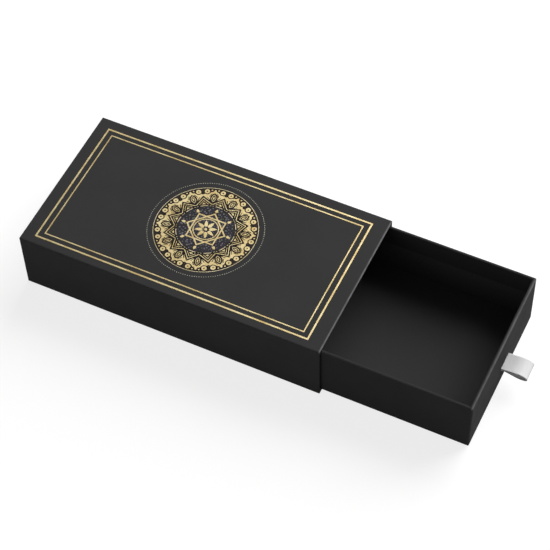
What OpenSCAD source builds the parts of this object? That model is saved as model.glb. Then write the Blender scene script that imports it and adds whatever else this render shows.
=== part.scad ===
// Sliding drawer gift box: a drawer with a ribbon pull in a sleeve that is closed at its back.
// Drawer and sleeve are greyboard panels covered with matt black paper, and the lid is stamped
// with gold foil. The drawer is drawn pull_out millimetres out, which is its rest position.
// +X is the way the drawer comes out and +Z is up. The origin is the middle of the sleeve's
// underside, and the near side is the one at -Y.

/* [Sleeve] */
// Length of the sleeve along the drawer's travel
sleeve_l = 200; // [150:1:300]
// Width of the lid
sleeve_w = 106; // [96:1:180]
// Height of the sleeve
sleeve_h = 44; // [34:1:90]

/* [Board and paper] */
// Thickness of the greyboard
board_t = 1.5; // [1.2:0.1:3]
// Thickness of the covering and lining paper
paper_t = 0.2; // [0.1:0.05:0.3]
// Outside radius of an edge with paper folded over it
edge_r = 0.8; // [0.5:0.05:0.9]
// Inside radius of the drawer's rim and of the sleeve's mouth
rim_r = 0.6; // [0.4:0.05:0.7]
// How far the covering paper turns in past a rim, and under the sleeve
turn_in = 15; // [8:0.5:20]
// How far the covering paper turns over onto the back of the sleeve
back_flap = 8; // [4:0.5:14]
// Length of each leg of the paper tape that holds a drawer corner
stay_leg = 14; // [8:0.5:20]
// Thickness of that tape, which is pressed into the board
stay_t = 0.1; // [0.05:0.05:0.2]
// Bare board that the tape leaves at its top and bottom
stay_inset = 3; // [2:0.5:6]

/* [Drawer] */
// Running gap between the drawer and each side of the sleeve
side_gap = 0.5; // [0.2:0.05:1.5]
// Running gap under the drawer
floor_gap = 0.2; // [0.1:0.05:0.6]
// Gap over the drawer's rim
top_gap = 0.3; // [0.2:0.05:1.5]
// Gap behind the drawer when its front is level with the mouth
back_gap = 0.4; // [0.2:0.1:2]
// How far the drawer stands out at rest
pull_out = 94; // [0:1:120]

/* [Ribbon pull] */
// Width of the ribbon
ribbon_w = 12.7; // [8:0.1:20]
// Thickness of the ribbon
ribbon_t = 0.4; // [0.2:0.05:0.6]
// How far the loop stands out from the drawer's face
loop_out = 16.8; // [10:0.1:30]
// Thickness of the loop at its outer fold
loop_t = 3.4; // [2:0.1:6]
// Angle at which the loop droops
loop_droop = 3; // [1:0.5:10]
// Bend radius of the ribbon pair where it leaves the slit
droop_r = 6; // [4:0.5:12]
// Part of each layer that bows outwards before it bows back
bow_share = 0.4; // [0.2:0.05:0.6]
// Distance from the middle of the drawer's face to the middle of the ribbon
ribbon_off = 4; // [-20:0.5:20]
// Height of the slit above the drawer's underside
slit_up = 14.4; // [10:0.1:18]
// Clearance round the ribbon in its slit
slit_gap = 0.1; // [0.05:0.05:0.3]
// Gap between the two layers in the slit
layer_gap = 0.2; // [0.1:0.05:0.4]
// Length of each glued tail behind the drawer's front board
tail_l = 10; // [6:0.5:12]

/* [Foil frames] */
// Thickness of the gold foil
foil_t = 0.05; // [0.03:0.01:0.1]
// Margin from the lid's ends to the middle of the outer line
frame_x = 9.4; // [6:0.1:16]
// Margin from the lid's long edges to the middle of the outer line
frame_y = 6.8; // [4:0.1:12]
// Width of the outer line
outer_line = 1.05; // [0.6:0.05:1.6]
// Distance between the two lines at the lid's ends
pitch_x = 4.25; // [3:0.05:6]
// Distance between the two lines at the lid's long edges
pitch_y = 3.85; // [3:0.05:6]
// Width of the inner line
inner_line = 0.75; // [0.4:0.05:1.2]
// Offset of the stamped frames from the middle of the lid, as the die was set
die_shift = -0.8; // [-1.5:0.1:1.5]

/* [Foil ornament] */
// Diameter of the ornament over its rim
ornament_d = 64.4; // [56:0.2:66]
// Diameter of its middle field over the inner ring
core_d = 36.8; // [30:0.2:42]
// Width of the rim
ring_line = 0.6; // [0.4:0.05:1]
// Width of the inner ring
core_line = 0.45; // [0.3:0.05:0.8]
// Number of spikes, of leaves and of pairs of pearls round the middle field
petals = 12; // [10:1:13]
// Bare gap between neighbouring motifs
motif_gap = 0.5; // [0.4:0.05:0.6]
// Bare gap between the rim and what stands inside it
rim_gap = 0.8; // [0.6:0.05:1]
// Distance from a pearl's middle in to the low points between two spikes
spike_h = 4; // [3.6:0.1:4.6]
// Distance from the inner ring's gap out to the points of the outermost zigzag
zigzag_h = 6.6; // [6:0.1:7]
// Distance from the inner ring's gap out to its inner corners
zigzag_foot = 1.3; // [1.1:0.1:1.6]
// Width of a bare line
bare_line = 0.5; // [0.4:0.05:0.6]
// Distance between two zigzags
zigzag_pitch = 1.2; // [1.1:0.05:1.4]
// Number of nested zigzags
zigzags = 3; // [1:1:3]
// Length of a leaf
leaf_l = 7; // [6:0.1:7.4]
// Breadth of a leaf
leaf_w = 4; // [3.6:0.1:4.2]
// Distance between a leaf's outline and the line inside it
leaf_pitch = 0.95; // [0.85:0.05:1]
// Diameter of a pearl
pearl_d = 3.2; // [2.6:0.1:3.4]
// Diameter of the hole in a pearl
pearl_hole = 1; // [0.6:0.1:1.4]
// Distance between the two pearls of a pair
pearl_pair = 5.4; // [5:0.1:5.6]
// Diameter of the specks beside each spike
speck_d = 1; // [0.8:0.1:1.2]
// Distance between those two specks
speck_pair = 4.2; // [4:0.1:4.4]
// Bare gap round a speck, which draws in the sides of its spike
speck_gap = 0.9; // [0.6:0.1:1.1]
// Diameter of the circle of dots round the ornament
dot_ring_d = 71.4; // [68:0.2:76]
// Number of dots in that circle
dots = 160; // [80:1:200]
// Diameter of a dot
dot_d = 0.6; // [0.4:0.05:0.9]

/* [Foil star] */
// Side of each of the two squares that make the star
star_w = 18.8; // [14:0.2:20]
// Width of the star's lines
star_line = 0.85; // [0.5:0.05:1.2]
// Number of petals in the flower inside the star
flower_petals = 8; // [5:1:8]
// Breadth of a petal of the flower
flower_w = 2.2; // [1.2:0.1:2.3]
// Radius of the bare ring round the flower's eye
flower_foot = 2; // [1.8:0.1:2.4]
// Diameter of the flower's eye
flower_eye = 1.8; // [1:0.1:2.4]
// Length of the drop outside each point of the star
drop_l = 2.7; // [2:0.1:3]
// Breadth of that drop
drop_w = 1.7; // [1:0.1:1.9]

/* [Hidden] */
$fn = 32;

// Finished wall: covering paper, board and lining paper
wall_t = board_t + 2 * paper_t;
// From the outside of a box to the inner face of its boards
corner_in = paper_t + board_t;

// Drawer, from the sleeve's inside less its running gaps
tray_l = sleeve_l - wall_t - back_gap;
tray_w = sleeve_w - 2 * (wall_t + side_gap);
tray_h = sleeve_h - 2 * wall_t - floor_gap - top_gap;
tray_x = sleeve_l / 2 - tray_l / 2 + pull_out;
tray_z = wall_t + floor_gap;

// Ribbon: the layers' middle lines lie this far from the middle of the slit
layer_off = (layer_gap + ribbon_t) / 2;
slit_w = ribbon_w + 2 * slit_gap;
slit_h = layer_gap + 2 * (ribbon_t + slit_gap);
// Bend from each tail into the slit, and the straight run from there to the drawer's face
bend_r = ribbon_t / 2 + slit_gap;
ribbon_through = board_t + paper_t - ribbon_t / 2 - bend_r;
tail_reach = layer_off + bend_r + tail_l;
// Each layer bows out and back by bow_angle to meet the outer fold
fold_r = (loop_t - ribbon_t) / 2;
bow_run = loop_out - ribbon_t / 2 - fold_r - droop_r * sin(loop_droop);
bow_angle = 2 * atan((fold_r - layer_off) / bow_run);
bow_r = bow_run / sin(bow_angle);

// Ornament: radii at which its motifs stand
ornament_r = ornament_d / 2;
core_r = core_d / 2;
field_foot = core_r + motif_gap;
field_tip = ornament_r - ring_line - rim_gap;
pearl_r = field_tip - pearl_d / 2;
speck_r = field_tip - speck_d / 2;
// Zigzags: their points, their inner corners and the angles of their sides there
corner_r = field_foot + zigzag_foot;
point_r = field_foot + zigzag_h;
half_step = 180 / petals;
point_angle = atan2(corner_r * sin(half_step), point_r - corner_r * cos(half_step));
corner_angle = point_angle + half_step;
leaf_r = corner_r + motif_gap + leaf_l / 2;
star_ring_r = star_w / 2 - star_line - motif_gap;
flower_tip = star_ring_r - ring_line - motif_gap;
drop_foot = star_w / sqrt(2) + motif_gap;

// Reach of cutting solids past what they cut
far = 500;
// Facets round a full turn of the rings, the leaves' sides, the pearls, the small dots and the bent ribbon
ring_fn = 72;
lens_fn = 36;
pearl_fn = 20;
dot_fn = 8;
bend_fn = 36;
// Points of the star that two squares make
star_points = 8;
// Colour of the greyboard
BOARD = "#8c7f70";

// ---- shared shapes -------------------------------------------------------------------------

// Rectangle with round corners, centred
module round_rect(size, r) {
    square([size[0] - 2 * r, size[1]], center = true);
    square([size[0], size[1] - 2 * r], center = true);
    for (x = [-1, 1], y = [-1, 1])
        translate([x * (size[0] / 2 - r), y * (size[1] / 2 - r)]) circle(r);
}

// Box with round edges, centred on X and Y and standing on z = 0
module round_box(size, r) {
    translate([0, 0, size[2] / 2]) intersection() {
        linear_extrude(far, center = true) round_rect([size[0], size[1]], r);
        rotate([90, 0, 0]) linear_extrude(far, center = true) round_rect([size[0], size[2]], r);
        rotate([90, 0, 90]) linear_extrude(far, center = true) round_rect([size[1], size[2]], r);
    }
}

// Outline of a pocket: straight sides that flare out in a quarter round at the mouth, and past it
module flared_slot(w, depth, r) {
    translate([-w / 2, 0]) square([w, depth]);
    difference() {
        translate([-w / 2 - r, depth - r]) square([w + 2 * r, 2 * r]);
        for (side = [-1, 1])
            translate([side * (w / 2 + r), depth - r]) circle(r);
    }
}

// Rectangular pocket, open at its top, with a rounded rim
module pocket(size, r) {
    intersection() {
        rotate([90, 0, 0]) linear_extrude(far, center = true) flared_slot(size[0], size[2], r);
        rotate([90, 0, 90]) linear_extrude(far, center = true) flared_slot(size[1], size[2], r);
    }
}

// Block between two opposite corners
module slab(low, high) {
    translate(low) cube(high - low);
}

// Pointed lens, centred, with its points on X, drawn in evenly by an inset
module lens(length, width, inset = 0) {
    r = (length * length + width * width) / (4 * width);
    intersection_for(side = [-1, 1])
        translate([0, side * (r - width / 2)]) circle(r - inset, $fn = lens_fn);
}

// Star with its first point on X, between the radii of its points and of its inner corners
module star(points, tip, corner) {
    polygon([for (i = [0 : 2 * points - 1])
        (i % 2 == 0 ? tip : corner) * [cos(180 * i / points), sin(180 * i / points)]]);
}

// Petal on the +X ray with a round foot and a pointed tip, between two radii
module petal(foot, tip, width) {
    translate([foot + width / 2, 0]) {
        intersection() {
            circle(d = width);
            translate([-width, -width]) square([width, 2 * width]);
        }
        intersection() {
            lens(2 * (tip - foot) - width, width);
            translate([0, -width]) square([tip, 2 * width]);
        }
    }
}

// Flat ring
module ring(r, line) {
    difference() {
        circle(r, $fn = ring_fn);
        circle(r - line, $fn = ring_fn);
    }
}

// Places its children n times round the middle, turned on by a share of one step
module around(n, share = 0) {
    for (i = [0 : n - 1]) rotate(360 * (i + share) / n) children();
}

// Stamps an outline in foil on the lid
module stamp() {
    color("#d8c48a") translate([0, 0, sleeve_h]) linear_extrude(foil_t) children();
}

// Direction at an angle, and the direction square to it on its left
function ahead(turn) = [cos(turn), sin(turn)];
function left(turn) = [-sin(turn), cos(turn)];

// Points beside a path of steps, each [length, 0] or [radius, turn], that starts along +X
function walk(path, off, at = [0, 0], turn = 0, i = 0) =
    i == len(path) ? [at + off * left(turn)] :
    path[i][1] == 0 ?
        concat([at + off * left(turn)],
            walk(path, off, at + path[i][0] * ahead(turn), turn, i + 1)) :
    let (side = sign(path[i][1]), centre = at + side * path[i][0] * left(turn),
        count = ceil(abs(path[i][1]) * bend_fn / 360), step = path[i][1] / count)
        concat([for (k = [0 : count - 1]) centre - (side * path[i][0] - off) * left(turn + k * step)],
            walk(path, off, centre - side * path[i][0] * left(turn + path[i][1]),
                turn + path[i][1], i + 1));

// Strip of even thickness along a path
module strip(path, t) {
    back = walk(path, -t / 2);
    polygon(concat(walk(path, t / 2), [for (i = [len(back) - 1 : -1 : 0]) back[i]]));
}

// ---- covered box, open at its top, for both the drawer and the sleeve on its back ----------

// Outside of a box, drawn in by a thickness of paper for the outside of its boards
module box_outside(size, inset = 0) {
    translate([0, 0, inset]) round_box(size - 2 * inset * [1, 1, 1], edge_r - inset);
}

// Inside of a box, let into the walls by a thickness of paper for the inside of its boards
module box_inside(size, inset = 0) {
    wall = wall_t - inset;
    translate([0, 0, wall]) pocket(size - [2 * wall, 2 * wall, wall_t], rim_r - inset);
}

// The five boards together
module box_boards(size) {
    difference() {
        box_outside(size, paper_t);
        box_inside(size, paper_t);
    }
}

// Layer on the inside of the boards, up to the turned-in paper
module box_lining(size) {
    difference() {
        intersection() {
            box_inside(size, paper_t);
            slab([-far, -far, -far], [far, far, size[2] - turn_in]);
        }
        box_inside(size);
    }
}

// Covering paper over the outside and the rim, and turned in as far as the lining
module box_paper(size) {
    difference() {
        difference() {
            box_outside(size);
            box_boards(size);
        }
        box_inside(size);
        box_lining(size);
    }
}

// A part of the boards between two corners
module box_panel(size, low, high) {
    intersection() {
        box_boards(size);
        slab(low, high);
    }
}

// ---- sleeve, drawn standing on its back with its lid at -X ---------------------------------

SLEEVE = [sleeve_h, sleeve_w, sleeve_l];

// Faces between the boards, measured from the middle of the sleeve
lid_in = sleeve_h / 2 - corner_in;
side_in = sleeve_w / 2 - corner_in;

// Lays a piece of the sleeve down, with its mouth at +X and its lid up
module in_sleeve(shade) {
    color(shade) translate([-sleeve_l / 2, 0, sleeve_h / 2]) rotate([0, 90, 0]) children();
}

module sleeve_top_board() {
    in_sleeve(BOARD) box_panel(SLEEVE, [-far, -far, -far], [-lid_in, far, far]);
}

module sleeve_base_board() {
    in_sleeve(BOARD) box_panel(SLEEVE, [lid_in, -far, -far], [far, far, far]);
}

module sleeve_near_board() {
    in_sleeve(BOARD) box_panel(SLEEVE, [-lid_in, -far, -far], [lid_in, -side_in, far]);
}

module sleeve_far_board() {
    in_sleeve(BOARD) box_panel(SLEEVE, [-lid_in, side_in, -far], [lid_in, far, far]);
}

module sleeve_back_board() {
    in_sleeve(BOARD) box_panel(SLEEVE, [-lid_in, -side_in, -far], [lid_in, side_in, corner_in]);
}

// Sheet let into the underside, inside the turned-in edges of the covering paper
module base_sheet() {
    y = sleeve_w / 2 - turn_in;
    slab([sleeve_h / 2 - paper_t, -y, turn_in], [sleeve_h / 2, y, sleeve_l - turn_in]);
}

// Sheet let into the back in the same way
module back_sheet() {
    x = sleeve_h / 2 - back_flap;
    y = sleeve_w / 2 - back_flap;
    slab([-x, -y, 0], [x, y, paper_t]);
}

module sleeve_wrap() {
    in_sleeve("#3a3a3a") difference() {
        box_paper(SLEEVE);
        base_sheet();
        back_sheet();
    }
}

module sleeve_lining() {
    in_sleeve("#1e1e1e") box_lining(SLEEVE);
}

module sleeve_base_sheet() {
    in_sleeve("#242424") base_sheet();
}

module sleeve_back_sheet() {
    in_sleeve("#242424") back_sheet();
}

// ---- foil on the lid -----------------------------------------------------------------------

// Line round the lid, with its middle at the given margins from the edges
module frame_line(margin, line) {
    size = [sleeve_l, sleeve_w] - 2 * margin;
    stamp() translate([die_shift, die_shift]) difference() {
        square(size + line * [1, 1], center = true);
        square(size - line * [1, 1], center = true);
    }
}

module foil_outer_frame() {
    frame_line([frame_x, frame_y], outer_line);
}

module foil_inner_frame() {
    frame_line([frame_x + pitch_x, frame_y + pitch_y], inner_line);
}

module foil_rings() {
    stamp() {
        ring(ornament_r, ring_line);
        ring(core_r, core_line);
    }
}

// Discs where the pearls stand, two beside each low point of the field
module pearls(d) {
    around(petals) for (side = [-1, 1])
        translate([pearl_r, side * pearl_pair / 2]) circle(d = d, $fn = pearl_fn);
}

// Discs where the specks stand, two beside each spike of the field
module specks(d, fn) {
    around(petals, 0.5) for (side = [-1, 1])
        translate([speck_r, side * speck_pair / 2]) circle(d = d, $fn = fn);
}

// Star drawn in evenly from the outermost zigzag
module zigzag(inset) {
    star(petals, point_r - inset / sin(point_angle), corner_r - inset / sin(corner_angle));
}

// Bare line along a zigzag
module bare_zigzag(inset) {
    difference() {
        zigzag(inset);
        zigzag(inset + bare_line);
    }
}

// Bare line along a leaf's outline
module bare_leaf(inset) {
    difference() {
        lens(leaf_l, leaf_w, inset);
        lens(leaf_l, leaf_w, inset + bare_line);
    }
}

// Field of foil with a spike between two pairs of pearls and a low point in the middle of each pair
module field() {
    rotate(half_step) star(petals, field_tip, pearl_r - spike_h);
    star(petals, pearl_r - motif_gap, pearl_r - spike_h);
}

module foil_petals() {
    stamp() difference() {
        field();
        circle(field_foot, $fn = ring_fn);
        pearls(pearl_d + 2 * motif_gap);
        specks(speck_d + 2 * speck_gap, pearl_fn);
        for (i = [0 : zigzags - 1])
            bare_zigzag(i * zigzag_pitch);
        around(petals, 0.5) translate([leaf_r, 0]) for (i = [0, 1])
            bare_leaf(i * leaf_pitch);
    }
}

module foil_pearls() {
    stamp() {
        difference() {
            pearls(pearl_d);
            pearls(pearl_hole);
        }
        specks(speck_d, dot_fn);
    }
}

module foil_dots() {
    stamp() around(dots) translate([dot_ring_d / 2, 0]) circle(d = dot_d, $fn = dot_fn);
}

module foil_star() {
    stamp() {
        for (turn = [0, 360 / star_points])
            rotate(turn) difference() {
                square(star_w, center = true);
                square(star_w - 2 * star_line, center = true);
            }
        ring(star_ring_r, ring_line);
        circle(d = flower_eye);
        around(flower_petals, 0.5) petal(flower_foot, flower_tip, flower_w);
        around(star_points) petal(drop_foot, drop_foot + drop_l, drop_w);
    }
}

// ---- drawer, drawn about the middle of its own underside -----------------------------------

TRAY = [tray_l, tray_w, tray_h];

// Inner faces of the drawer's boards
end_in = tray_l / 2 - corner_in;
wall_in = tray_w / 2 - corner_in;

// Slit for the ribbon, from the front board's inner face out through the covering paper
module ribbon_slit() {
    translate([end_in, ribbon_off, slit_up])
        slab([0, -slit_w / 2, -slit_h / 2], [far, slit_w / 2, slit_h / 2]);
}

// Shallow bed for the glued tails in the inner face of the front board
module tail_bed() {
    translate([end_in, ribbon_off, slit_up])
        slab([0, -ribbon_w / 2, -tail_reach], [ribbon_t, ribbon_w / 2, tail_reach]);
}

// Angle of tape in the outer face of each corner
module corner_stays() {
    board_face = [tray_l, tray_w] - 2 * paper_t * [1, 1];
    corner_r = edge_r - paper_t;
    for (x = [-1, 1], y = [-1, 1])
        intersection() {
            translate([0, 0, stay_inset]) linear_extrude(tray_h - 2 * stay_inset) difference() {
                round_rect(board_face, corner_r);
                round_rect(board_face - 2 * stay_t * [1, 1], corner_r - stay_t);
            }
            translate([x * board_face[0] / 2, y * board_face[1] / 2, tray_h / 2])
                cube([2 * stay_leg, 2 * stay_leg, tray_h], center = true);
        }
}

// Moves a piece of the drawer to where the drawer stands at rest
module in_drawer(shade) {
    color(shade) translate([tray_x, 0, tray_z]) children();
}

// A part of the drawer's boards between two corners, less what is cut or pressed into them
module tray_panel(low, high) {
    in_drawer(BOARD) difference() {
        box_panel(TRAY, low, high);
        corner_stays();
        ribbon_slit();
        tail_bed();
    }
}

module tray_base_board() {
    tray_panel([-end_in, -wall_in, -far], [end_in, wall_in, corner_in]);
}

module tray_front_board() {
    tray_panel([end_in, -wall_in, -far], [far, wall_in, far]);
}

module tray_back_board() {
    tray_panel([-far, -wall_in, -far], [-end_in, wall_in, far]);
}

module tray_near_board() {
    tray_panel([-far, -far, -far], [far, -wall_in, far]);
}

module tray_far_board() {
    tray_panel([-far, wall_in, -far], [far, far, far]);
}

module tray_corner_stays() {
    in_drawer("#a08763") corner_stays();
}

module tray_wrap() {
    in_drawer("#2f2f2f") difference() {
        box_paper(TRAY);
        ribbon_slit();
    }
}

module tray_lining() {
    in_drawer("#1c1c1c") box_lining(TRAY);
}

// Middle line of the ribbon from its upper tail, out round the loop and back to its lower tail
RIBBON_PATH = [
    [tail_l, 0],
    [bend_r, 90],
    [ribbon_through, 0],
    [droop_r + layer_off, -loop_droop],
    [bow_share * bow_r, bow_angle],
    [(1 - bow_share) * bow_r, -bow_angle],
    [fold_r, -180],
    [(1 - bow_share) * bow_r, -bow_angle],
    [bow_share * bow_r, bow_angle],
    [droop_r - layer_off, loop_droop],
    [ribbon_through, 0],
    [bend_r, 90],
    [tail_l, 0],
];

module ribbon_pull() {
    in_drawer("#d0d0d0") translate([end_in + ribbon_t / 2, ribbon_off + ribbon_w / 2, slit_up + tail_reach])
        rotate([90, 0, 0]) linear_extrude(ribbon_w) rotate(-90) strip(RIBBON_PATH, ribbon_t);
}

// ---- nodes ---------------------------------------------------------------------------------

sleeve_top_board();
sleeve_base_board();
sleeve_near_board();
sleeve_far_board();
sleeve_back_board();
sleeve_wrap();
sleeve_lining();
sleeve_base_sheet();
sleeve_back_sheet();
foil_outer_frame();
foil_inner_frame();
foil_rings();
foil_petals();
foil_pearls();
foil_dots();
foil_star();
tray_base_board();
tray_front_board();
tray_back_board();
tray_near_board();
tray_far_board();
tray_corner_stays();
tray_wrap();
tray_lining();
ribbon_pull();
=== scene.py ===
"""Sliding drawer gift box in matt black paper with gold foil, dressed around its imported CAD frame."""

import logging
import math
from collections.abc import Mapping, Sequence
from dataclasses import dataclass
from enum import Enum
from typing import Any

import bmesh
import bpy
from mathutils import Matrix, Vector, noise


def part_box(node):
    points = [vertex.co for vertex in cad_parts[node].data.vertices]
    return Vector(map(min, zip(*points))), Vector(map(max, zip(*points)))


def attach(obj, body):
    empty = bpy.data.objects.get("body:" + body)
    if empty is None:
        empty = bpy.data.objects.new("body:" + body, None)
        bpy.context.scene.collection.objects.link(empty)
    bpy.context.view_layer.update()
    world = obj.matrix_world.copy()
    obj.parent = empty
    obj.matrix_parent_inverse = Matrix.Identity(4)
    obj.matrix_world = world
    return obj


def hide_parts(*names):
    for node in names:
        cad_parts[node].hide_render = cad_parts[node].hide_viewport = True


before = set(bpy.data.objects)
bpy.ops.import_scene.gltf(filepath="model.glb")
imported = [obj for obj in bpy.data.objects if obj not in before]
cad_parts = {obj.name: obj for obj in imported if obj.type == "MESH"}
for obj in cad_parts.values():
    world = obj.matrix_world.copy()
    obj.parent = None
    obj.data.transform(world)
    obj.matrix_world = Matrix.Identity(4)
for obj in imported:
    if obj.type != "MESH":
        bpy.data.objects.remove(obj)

LOG = logging.getLogger("gift_box")
MM = 0.001

# Kinds of node in many trees
MATH = "ShaderNodeMath"
VECTOR_MATH = "ShaderNodeVectorMath"
MAP_RANGE = "ShaderNodeMapRange"
# Sockets of a Mix node that mixes colours
MIX_A, MIX_B, MIX_RESULT = 6, 7, 2
# Turn between two neighbours of an even spiral
GOLDEN_ANGLE = math.pi * (3 - math.sqrt(5))

Vec2 = tuple[float, float]
Vec3 = tuple[float, float, float]
Station = tuple[float, float, float, float]
Tree = bpy.types.NodeTree
Node = bpy.types.Node
Socket = bpy.types.NodeSocket
Source = Node | Socket
Material = bpy.types.Material
Piece = bpy.types.Object


class Body(Enum):
    """The two rigid bodies of the box."""

    SLEEVE = "sleeve"
    DRAWER = "drawer"


class End(Enum):
    """The end of the drawer that a piece covers, as the sign of its X direction."""

    FRONT = 1
    BACK = -1


def linear(hex_colour: str) -> tuple[float, float, float, float]:
    """Turns an sRGB hex colour into linear RGBA.

    Args:
        hex_colour: The colour as "#rrggbb".

    Returns:
        Its linear red, green and blue, with alpha 1.
    """
    channels = [int(hex_colour[i : i + 2], 16) / 255 for i in (1, 3, 5)]
    red, green, blue = (c / 12.92 if c <= 0.04045 else ((c + 0.055) / 1.055) ** 2.4 for c in channels)
    return red, green, blue, 1.0


def node(tree: Tree, kind: str, inputs: Mapping[str | int, Any] | None = None, **settings: Any) -> Node:
    """Adds a node with its settings and its links.

    Args:
        tree: The node tree to add to.
        kind: The node's type name.
        inputs: Values for its inputs, by name or index. A socket is linked, and so is a node's first output.
        settings: The node's own properties.

    Returns:
        The new node.
    """
    made = tree.nodes.new(kind)
    for name, value in settings.items():
        setattr(made, name, value)
    for key, value in (inputs or {}).items():
        value = value.outputs[0] if isinstance(value, Node) else value
        if isinstance(value, Socket):
            tree.links.new(value, made.inputs[key])
        else:
            made.inputs[key].default_value = value
    return made


def new_material(name: str) -> tuple[Material, Tree]:
    """Makes a material and returns it with its empty node tree."""
    material = bpy.data.materials.new(name)
    material.use_nodes = True
    material.node_tree.nodes.clear()
    return material, material.node_tree


def per_mm(size: float) -> float:
    """Returns the scale of a pattern whose cells have a size in millimetres."""
    return 1 / (size * MM)


def two_tone(tree: Tree, grain: Source, span: Vec2, first: str, second: str) -> Socket:
    """Turns one colour to another where a grain rises.

    Args:
        tree: The material's tree.
        grain: The grain's value.
        span: Its values where the second colour begins and is full.
        first: One colour as "#rrggbb".
        second: The other one.

    Returns:
        The colour's socket.
    """
    share = node(tree, MAP_RANGE, {0: grain, 1: span[0], 2: span[1]})
    colours = {0: share, MIX_A: linear(first), MIX_B: linear(second)}
    return node(tree, "ShaderNodeMix", colours, data_type="RGBA").outputs[MIX_RESULT]


def shade(tree: Tree, inputs: Mapping[str, Any], height: Source, strength: float, depth_mm: float) -> None:
    """Ends a material's tree in a Principled shader with relief.

    Args:
        tree: The material's tree.
        inputs: The shader's inputs, by name.
        height: The relief's height, from 0 to about 1.
        strength: How much of the relief shows.
        depth_mm: Depth of the relief.
    """
    relief = {"Height": height, "Strength": strength, "Distance": depth_mm * MM}
    bump = node(tree, "ShaderNodeBump", relief)
    shader = node(tree, "ShaderNodeBsdfPrincipled", {**inputs, "Normal": bump})
    node(tree, "ShaderNodeOutputMaterial", {0: shader})


def in_scene(name: str, data: Any) -> Piece:
    """Makes an object of a mesh, lamp or camera and links it to the scene."""
    piece = bpy.data.objects.new(name, data)
    bpy.context.scene.collection.objects.link(piece)
    return piece


def mesh_piece(name: str, verts: Sequence[Vec3], faces: Sequence[Sequence[int]], smooth: bool) -> Piece:
    """Makes an object at the origin whose place is in its mesh.

    Args:
        name: The piece's name.
        verts: Corner points in metres.
        faces: Corner indices of each face.
        smooth: Whether its faces are shaded smooth.

    Returns:
        The piece.
    """
    mesh = bpy.data.meshes.new(name)
    mesh.from_pydata(verts, [], faces)
    mesh.validate()
    for polygon in mesh.polygons:
        polygon.use_smooth = smooth
    return in_scene(name, mesh)


def outward(piece: Piece) -> None:
    """Merges doubles and turns a closed piece's faces outwards."""
    shape = bmesh.new()
    shape.from_mesh(piece.data)
    bmesh.ops.remove_doubles(shape, verts=shape.verts, dist=1e-7)
    bmesh.ops.recalc_face_normals(shape, faces=shape.faces)
    shape.to_mesh(piece.data)
    shape.free()


def swept(name: str, rings: Sequence[Sequence[Vec3]], smooth: bool) -> Piece:
    """Joins equal rings of points into one closed piece.

    Args:
        name: The piece's name.
        rings: The rings, in order along the piece.
        smooth: Whether its faces are shaded smooth.

    Returns:
        The piece.
    """
    count = len(rings[0])
    last = count * (len(rings) - 1)
    faces: list[Sequence[int]] = [range(count), range(last, last + count)]
    for start in range(0, last, count):
        here = range(start, start + count)
        faces += [(here[k - 1], here[k], here[k] + count, here[k - 1] + count) for k in range(count)]
    piece = mesh_piece(name, [point for ring in rings for point in ring], faces, smooth)
    outward(piece)
    return piece


def paint(piece: Piece, material: Material) -> None:
    """Gives every slot of a piece one material."""
    piece.data.materials.clear()
    piece.data.materials.append(material)


@dataclass(frozen=True)
class EdgeBox:
    """The outer box of a covered shell, whose edges are painted paler: partly rubbing, partly painted
    highlight.

    Attributes:
        low: Its lowest corner in metres.
        high: Its highest corner in metres.
    """

    low: Vector
    high: Vector

    @classmethod
    def of(cls, name: str) -> "EdgeBox":
        """Takes the box of a CAD node."""
        return cls(*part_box(name))

    def edge_distance(self, tree: Tree, place: Socket) -> Node:
        """Measures how far a point of the surface lies from the box's nearest edge.

        Args:
            tree: The material's tree.
            place: The point in object coordinates.

        Returns:
            The distance in metres: the second smallest one to a face.
        """
        middle, half = (self.low + self.high) / 2, (self.high - self.low) / 2
        offset = node(tree, VECTOR_MATH, {0: place, 1: middle}, operation="SUBTRACT")
        folded = node(tree, VECTOR_MATH, {0: offset}, operation="ABSOLUTE")
        inset = node(tree, VECTOR_MATH, {0: half, 1: folded}, operation="SUBTRACT")
        x, y, z = node(tree, "ShaderNodeSeparateXYZ", {0: inset}).outputs
        least = node(tree, MATH, {0: x, 1: y}, operation="MINIMUM")
        most = node(tree, MATH, {0: x, 1: y}, operation="MAXIMUM")
        other = node(tree, MATH, {0: most, 1: z}, operation="MINIMUM")
        return node(tree, MATH, {0: least, 1: other}, operation="MAXIMUM")

    def open_edge_distance(self, tree: Tree, place: Socket) -> Node:
        """Measures how far a point lies from the upper edge at the open end.

        Args:
            tree: The material's tree.
            place: The point in object coordinates.

        Returns:
            The distance in metres: the larger one to the edge's two faces.
        """
        inset = node(tree, VECTOR_MATH, {0: self.high, 1: place}, operation="SUBTRACT")
        x, _, z = node(tree, "ShaderNodeSeparateXYZ", {0: inset}).outputs
        return node(tree, MATH, {0: x, 1: z}, operation="MAXIMUM")


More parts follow.
